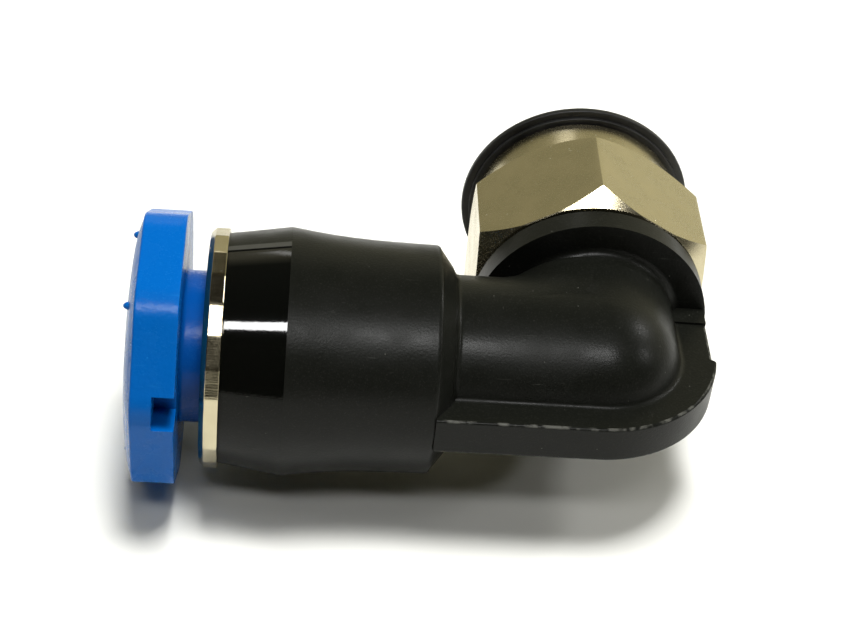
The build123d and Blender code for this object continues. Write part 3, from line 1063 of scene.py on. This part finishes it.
@dataclass
class ThreadedStud:
    """Plated stud: grooved shank, hexagon with turned corners, collar, seat and helical thread."""

    node: str = "threaded_stud"
    body: str = "stud"
    across_flats: float = 12.999 * MM
    corner_round: float = 0.12 * MM
    hexagon: tuple[float, float] = (-9.5 * MM, -3.85 * MM)
    face_radius: float = 6.605 * MM
    face_inner: float = 6.0 * MM
    edge_break: float = 0.05 * MM
    collar_radius: float = 6.15 * MM
    collar_end: float = -0.5 * MM
    seat_radius: float = 5.68 * MM
    major_radius: float = 4.864 * MM
    pitch: float = 0.907 * MM
    thread_depth: float = 0.581 * MM
    thread_steps: int = 20
    thread_margin: float = 0.02 * MM
    crest_flatness: float = 1.7
    relief: float = 0.5 * MM
    run_in: float = 0.45
    end_chamfer: float = 0.6 * MM
    bore_radius: float = 1.75 * MM
    bore_chamfer: tuple[float, float] = (0.4 * MM, 0.5 * MM)
    shank_radius: float = 3.2 * MM
    shank_chamfer: float = 0.2 * MM
    grooves: tuple[tuple[float, float, float], ...] = (
        (-12.25 * MM, 0.5 * MM, 2.42 * MM),
        (-10.85 * MM, 0.375 * MM, 2.75 * MM),
    )
    columns: int = 300

    def shank_rows(self) -> list[tuple[float, float]]:
        """The shank from its end: chamfer, a groove at each (middle, half width, floor), face.

        Returns:
            Along and radius of each row.
        """
        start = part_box(self.node)[0][1]
        near = self.hexagon[0]
        r = self.shank_radius
        rows = [(start, self.bore_radius), (start, r - self.shank_chamfer), (start + self.shank_chamfer, r)]
        for middle, half, floor in self.grooves:
            rows += [(middle - half, r), (middle - half, floor), (middle + half, floor), (middle + half, r)]
        return rows + [(near, r), (near, (r + self.face_inner) / 2), (near, self.face_inner)]

    def hexagon_rows(self, flat: np.ndarray) -> list[tuple[np.ndarray, np.ndarray]]:
        """The hexagon between its two cones, and the far cone down to the collar.

        Each column starts and ends where its radius meets a 45 degree cone, so both scalloped
        edges are rows of the grid.

        Args:
            flat: the hexagon's radius at each column.

        Returns:
            Sets of rows as (along, radius).
        """
        near, far = self.hexagon
        c = self.edge_break
        corner_reach = self.across_flats / math.sqrt(3)
        starts_at = near + np.clip(flat - self.face_radius, 0, None)
        ends_at = far + corner_reach - flat
        face_end = np.minimum(flat, self.face_radius) - c
        cone_end = far + corner_reach - self.collar_radius
        return [
            rows_between((near, face_end), (starts_at, flat - c), np.linspace(0, 1, 10)),
            rows_between((starts_at + c, flat), (ends_at, flat), np.linspace(0, 1, 12)),
            rows_between((ends_at, flat), (cone_end, self.collar_radius), np.linspace(0.02, 1, 12)),
        ]

    def thread_rows(self, angle: np.ndarray) -> tuple[np.ndarray, np.ndarray]:
        """The thread, a helix.

        Its radius follows a flattened wave, tanh(k sin(turn * (y / pitch - angle / turn))) / tanh k,
        grows out of the relief groove, and is cut by the cone at the end.

        Args:
            angle: the columns' angles.

        Returns:
            Along and radius, each rows by columns.
        """
        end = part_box(self.node)[1][1]
        step = self.pitch / self.thread_steps
        y = np.arange(self.thread_margin, end - self.thread_margin, step)[:, None]
        phase = y / self.pitch - angle[None, :] / TURN
        wave = np.tanh(self.crest_flatness * np.sin(TURN * phase)) / math.tanh(self.crest_flatness)
        grown = np.clip((y - self.relief) / (self.run_in * self.pitch), 0, 1)
        root = self.major_radius - self.thread_depth
        radius = root + self.thread_depth * (0.5 + 0.5 * wave) * grown
        cone = self.major_radius - np.clip(y - end + self.end_chamfer, 0, self.end_chamfer)
        return np.broadcast_to(y, radius.shape), np.minimum(radius, cone)

    def shell(self) -> Shell:
        """The whole stud, row by row from the shank's end to the thread's and back down the bore.

        Returns:
            The shell.
        """
        angle = np.linspace(0, TURN, self.columns, endpoint=False)
        low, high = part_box(self.node)
        end = high[1]
        half_flats = np.array([[self.across_flats / 2]])
        flat = polygon_radius(angle, 6, half_flats, np.array([[self.corner_round]]))[0]
        seat = [
            (self.collar_end - self.edge_break, self.collar_radius),
            (self.collar_end, self.collar_radius - self.edge_break),
            (self.collar_end, self.seat_radius),
            (0.0, self.seat_radius),
            (0.0, self.major_radius - self.thread_depth),
        ]
        deep, wide = self.bore_chamfer
        bore = [
            (end, self.major_radius - self.end_chamfer - 0.05 * MM),
            (end, self.bore_radius + wide),
            (end - deep, self.bore_radius),
        ]
        bore += [(y, self.bore_radius) for y in np.linspace(end - 1 * MM, low[1] + 0.5 * MM, 8)]
        sets = [
            level_rows(self.shank_rows(), self.columns),
            *self.hexagon_rows(flat),
            level_rows(seat, self.columns),
            self.thread_rows(angle),
            level_rows(bore, self.columns),
        ]
        along = np.concatenate([rows[0] for rows in sets])
        radius = np.concatenate([rows[1] for rows in sets])
        return Shell.from_grid(turned_grid(Axis.STUD, along, radius, angle, ON_STUD_AXIS))

    def build(self, finish: bpy.types.Material) -> bpy.types.Object:
        """Makes and dresses the stud."""
        piece = self.shell().to_object("plated_stud", 25)
        return place(piece, finish, self.body, Slot.PLATING, self.node)


@dataclass
class SealRing:
    """Black stepped sealing ring: a narrow step before a wide rim, turned about the stud."""

    node: str = "thread_seal_ring"
    body: str = "stud"
    rounding: float = 0.11 * MM
    step_radius: float = 6.42 * MM
    step_thickness: float = 0.2 * MM
    step_rounding: float = 0.06 * MM
    bore_rounding: float = 0.05 * MM
    inner_radius: float = 5.72 * MM
    columns: int = 192

    def section(self) -> np.ndarray:
        """The closed section: as wide and thick as the CAD node's box, its hole on the stud's seat.

        Returns:
            Points (along, radius).
        """
        low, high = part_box(self.node)
        rim = low[1] + self.step_thickness
        return rounded_outline([
            (low[1], self.inner_radius, self.bore_rounding),
            (low[1], self.step_radius, self.step_rounding),
            (rim, self.step_radius, 0),
            (rim, high[0], self.rounding),
            (high[1], high[0], self.rounding),
            (high[1], self.inner_radius, self.rounding),
        ], 7)

    def build(self, finish: bpy.types.Material) -> bpy.types.Object:
        """Makes and dresses the ring.

        Args:
            finish: its finish.

        Returns:
            The ring.
        """
        shell = Shell.from_grid(turned(Axis.STUD, self.section(), self.columns, ON_STUD_AXIS))
        piece = shell.to_object("face_seal_ring", 35)
        return place(piece, finish, self.body, Slot.RUBBER, self.node)


def dress_nodes(finishes: dict[str, bpy.types.Material]) -> None:
    """Gives the CAD nodes that stay their finishes.

    Args:
        finishes: the finish of each node.
    """
    for node, finish in finishes.items():
        mesh = frame["nodes"][node].data
        mesh.materials.clear()
        mesh.materials.append(finish)
        LOG.info("%s keeps its CAD mesh, finish %s", node, finish.name)


# ---- floor, lights, camera --------------------------------------------------


@dataclass(frozen=True)
class Lamp:
    """A rectangular soft light aimed at a point; it can be kept out of reflections, or only in them."""

    name: str
    place: tuple[float, float, float]
    size: tuple[float, float]
    power: float
    mirrored: bool = True
    lighting: bool = True
    aim: tuple[float, float, float] = (-0.009, -0.013, 0.0)

    def add(self) -> None:
        """Adds the light, its back turned on the line from its aim to its place."""
        data = bpy.data.lights.new(self.name, "AREA")
        data.shape = "RECTANGLE"
        data.size, data.size_y = self.size
        data.energy = self.power
        lamp = bpy.data.objects.new(self.name, data)
        lamp.visible_glossy = self.mirrored
        lamp.visible_diffuse = self.lighting
        away = Vector(self.place) - Vector(self.aim)
        turn = away.to_track_quat("Z", "Y").to_matrix().to_4x4()
        lamp.matrix_world = Matrix.Translation(self.place) @ turn
        bpy.context.scene.collection.objects.link(lamp)


@dataclass(frozen=True)
class Glow:
    """How the surroundings' brightness changes with one axis of the direction looked in."""

    axis: int
    low: float
    high: float
    at_low: float
    at_high: float


@dataclass(frozen=True)
class Studio:
    """Pale floor, soft lights, surroundings and the camera."""

    floor_z: float
    floor_size: float = 3.0
    card: Colour = (0.80, 0.80, 0.755)
    card_light: Colour = (0.84, 0.84, 0.80)
    card_cloud: float = 30 * MM
    glow_colour: Colour = (1.0, 0.945, 0.64)
    glows: tuple[Glow, ...] = (
        Glow(1, -0.10, 0.55, 0.02, 1.0),
        Glow(2, 0.60, 0.75, 1.0, 0.05),
        Glow(0, -0.7, 0.7, 0.30, 0.75),
    )
    lamps: tuple[Lamp, ...] = (
        Lamp("broad_overhead", (0.01, 0.005, 0.45), (0.16, 0.12), 2.9, mirrored=False),
        Lamp("strip_front", (-0.03, -0.20, 0.33), (0.26, 0.05), 1.15, lighting=False),
        Lamp("front_fill", (-0.03, -0.20, 0.33), (0.26, 0.05), 0.32, mirrored=False),
        Lamp("rear_window", (-0.05, 0.26, 0.213), (0.07, 0.04), 0.02, lighting=False),
        Lamp("right_window", (0.29, 0.12, 0.24), (0.045, 0.05), 0.30),
        Lamp("right_lamp", (0.34, -0.06, 0.205), (0.035, 0.035), 0.16),
    )
    azimuth: float = -4.99
    elevation: float = 38.59
    roll: float = 6.39
    distance: float = 0.10738
    lens: float = 85.5
    sensor: float = 36.0
    clip_start: float = 0.005
    target: tuple[float, float, float] = (-9.913 * MM, -15.45 * MM, 3.43 * MM)

    def floor(self) -> None:
        """Lays a large pale sheet under the fitting, marked as not part of it."""
        h, z = self.floor_size / 2, self.floor_z
        mesh = bpy.data.meshes.new("floor")
        mesh.from_pydata([(-h, -h, z), (h, -h, z), (h, h, z), (-h, h, z)], [], [(0, 1, 2, 3)])
        sheet = bpy.data.objects.new("floor", mesh)
        bpy.context.scene.collection.objects.link(sheet)
        b = Bench("white_card")
        tone = b.noise(self.card_cloud, 2)
        b.fill(Base_Color=b.mix(tone, self.card, self.card_light))
        b.fill(Roughness=0.6, Specular_IOR_Level=0.2)
        mesh.materials.append(b.material)
        sheet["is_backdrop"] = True

    def surroundings(self) -> None:
        """Adds the surroundings: dark in front and overhead, bright low behind, more so at the right.

        Their strength is the product of the glows, each a clamped slope along one axis.
        """
        world = bpy.data.worlds.new("surroundings")
        bpy.context.scene.world = world
        world.use_nodes = True
        tree = world.node_tree
        background = tree.nodes["Background"]
        where = tree.nodes.new("ShaderNodeTexCoord")
        split = tree.nodes.new("ShaderNodeSeparateXYZ")
        tree.links.new(where.outputs["Generated"], split.inputs[0])
        strength = None
        for glow in self.glows:
            slope = tree.nodes.new("ShaderNodeMapRange")
            tree.links.new(split.outputs[glow.axis], slope.inputs["Value"])
            slope.inputs["From Min"].default_value = glow.low
            slope.inputs["From Max"].default_value = glow.high
            slope.inputs["To Min"].default_value = glow.at_low
            slope.inputs["To Max"].default_value = glow.at_high
            if strength is None:
                strength = slope.outputs[0]
                continue
            product = tree.nodes.new("ShaderNodeMath")
            product.operation = "MULTIPLY"
            tree.links.new(strength, product.inputs[0])
            tree.links.new(slope.outputs[0], product.inputs[1])
            strength = product.outputs[0]
        tree.links.new(strength, background.inputs["Strength"])
        background.inputs["Color"].default_value = (*self.glow_colour, 1)

    def camera(self) -> None:
        """Adds the camera: turned by azimuth, elevation and roll, at a distance from its target.

        With behind the direction back to the camera, right is level and up is behind x right;
        the roll turns right and up about behind.
        """
        a, e, r = (math.radians(v) for v in (self.azimuth, self.elevation, self.roll))
        behind = Vector((math.sin(a) * math.cos(e), -math.cos(a) * math.cos(e), math.sin(e)))
        right = Vector((math.cos(a), math.sin(a), 0))
        up = behind.cross(right)
        rolled_right = right * math.cos(r) + up * math.sin(r)
        rolled_up = up * math.cos(r) - right * math.sin(r)
        turn = Matrix((rolled_right, rolled_up, behind)).transposed().to_4x4()
        data = bpy.data.cameras.new("camera")
        data.lens = self.lens
        data.sensor_width = self.sensor
        data.clip_start = self.clip_start
        camera = bpy.data.objects.new("camera", data)
        camera.matrix_world = Matrix.Translation(Vector(self.target) + behind * self.distance) @ turn
        bpy.context.scene.collection.objects.link(camera)
        bpy.context.scene.camera = camera

    def build(self) -> None:
        """Sets the stage."""
        self.floor()
        self.surroundings()
        for lamp in self.lamps:
            lamp.add()
        self.camera()
        bpy.context.scene.view_settings.view_transform = "Standard"


# ---- the whole --------------------------------------------------------------


def housing_finish() -> bpy.types.Material:
    """The black housing's finish, its fields placed from the housing's own front.

    Returns:
        The finish.
    """
    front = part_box("elbow_body")[0][0]
    return HousingMoulding(
        "satin_black_moulding", (0.0052, 0.0056, 0.0042), (0.07, 0.07, 0.06),
        roughness=0.36, roughness_swing=0.07, grain=0.13 * MM, grain_depth=0.008 * MM,
        fleck_strength=0.12, specular=0.14, axis_y=TUBE_AXIS_Y,
        field_x=(front - MM, front + 3.33 * MM), field_angle=(math.radians(18), math.radians(95)),
        rib_start=front + 11.6 * MM,
    ).material()


def collar_finish() -> bpy.types.Material:
    """The blue collar's finish, with painted shade behind the flange.

    Returns:
        The finish.
    """
    return CollarMoulding(
        "satin_blue_moulding", (0.0004, 0.093, 0.365), (0.015, 0.20, 0.50),
        roughness=0.27, roughness_swing=0.05, grain=0.24 * MM, grain_depth=0.016 * MM,
        fleck_strength=0.22, specular=0.12, axis_y=TUBE_AXIS_Y,
        # painted shade on the sleeve behind the flange
        sleeve_shade_colour=(0.0008, 0.058, 0.26), sleeve_start=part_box("release_collar")[0][0] + 2.98 * MM,
    ).material()


def main() -> None:
    """Builds every piece in order, dresses the frame and sets the stage."""
    logging.basicConfig(level=logging.INFO)
    cad_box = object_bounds()
    black = housing_finish()
    blue = collar_finish()
    pale = Moulding("natural_moulding", (0.50, 0.49, 0.44), (0.6, 0.6, 0.55), 0.4, 0.05,
                    0.1 * MM, 0.002 * MM).material()
    nickel_stud = Plating("satin_nickel_stud", (0.565, 0.500, 0.340), (0.505, 0.450, 0.300), 0.24,
                          ROUND_STUD).material()
    nickel_ring = Plating("satin_nickel_ring", (0.57, 0.51, 0.345), (0.49, 0.435, 0.295), 0.20,
                          ALONG_TUBE, mark_size=0.10 * MM, mark_depth=0.006 * MM).material()
    steel = Plating("bright_spring_steel", (0.62, 0.62, 0.62), (0.5, 0.5, 0.5), 0.2, ALONG_TUBE).material()
    rubber = Rubber("black_rubber", (0.005, 0.005, 0.0045)).material()

    for piece in (
        ReleaseCollar().build(blue),
        MouthRing().build(nickel_ring),
        ThreadedStud().build(nickel_stud),
        SealRing().build(rubber),
    ):
        LOG.info("%s has %d faces", piece.name, len(piece.data.polygons))
    dress_nodes({
        "elbow_body": black,
        "grip_claw": steel,
        "backing_ring": pale,
        "tube_seal": rubber,
        "stud_o_ring": rubber,
        "stud_clip": steel,
    })
    Studio(floor_z=cad_box[0][2]).build()
    bpy.context.view_layer.update()


if __name__ == "__main__":
    main()
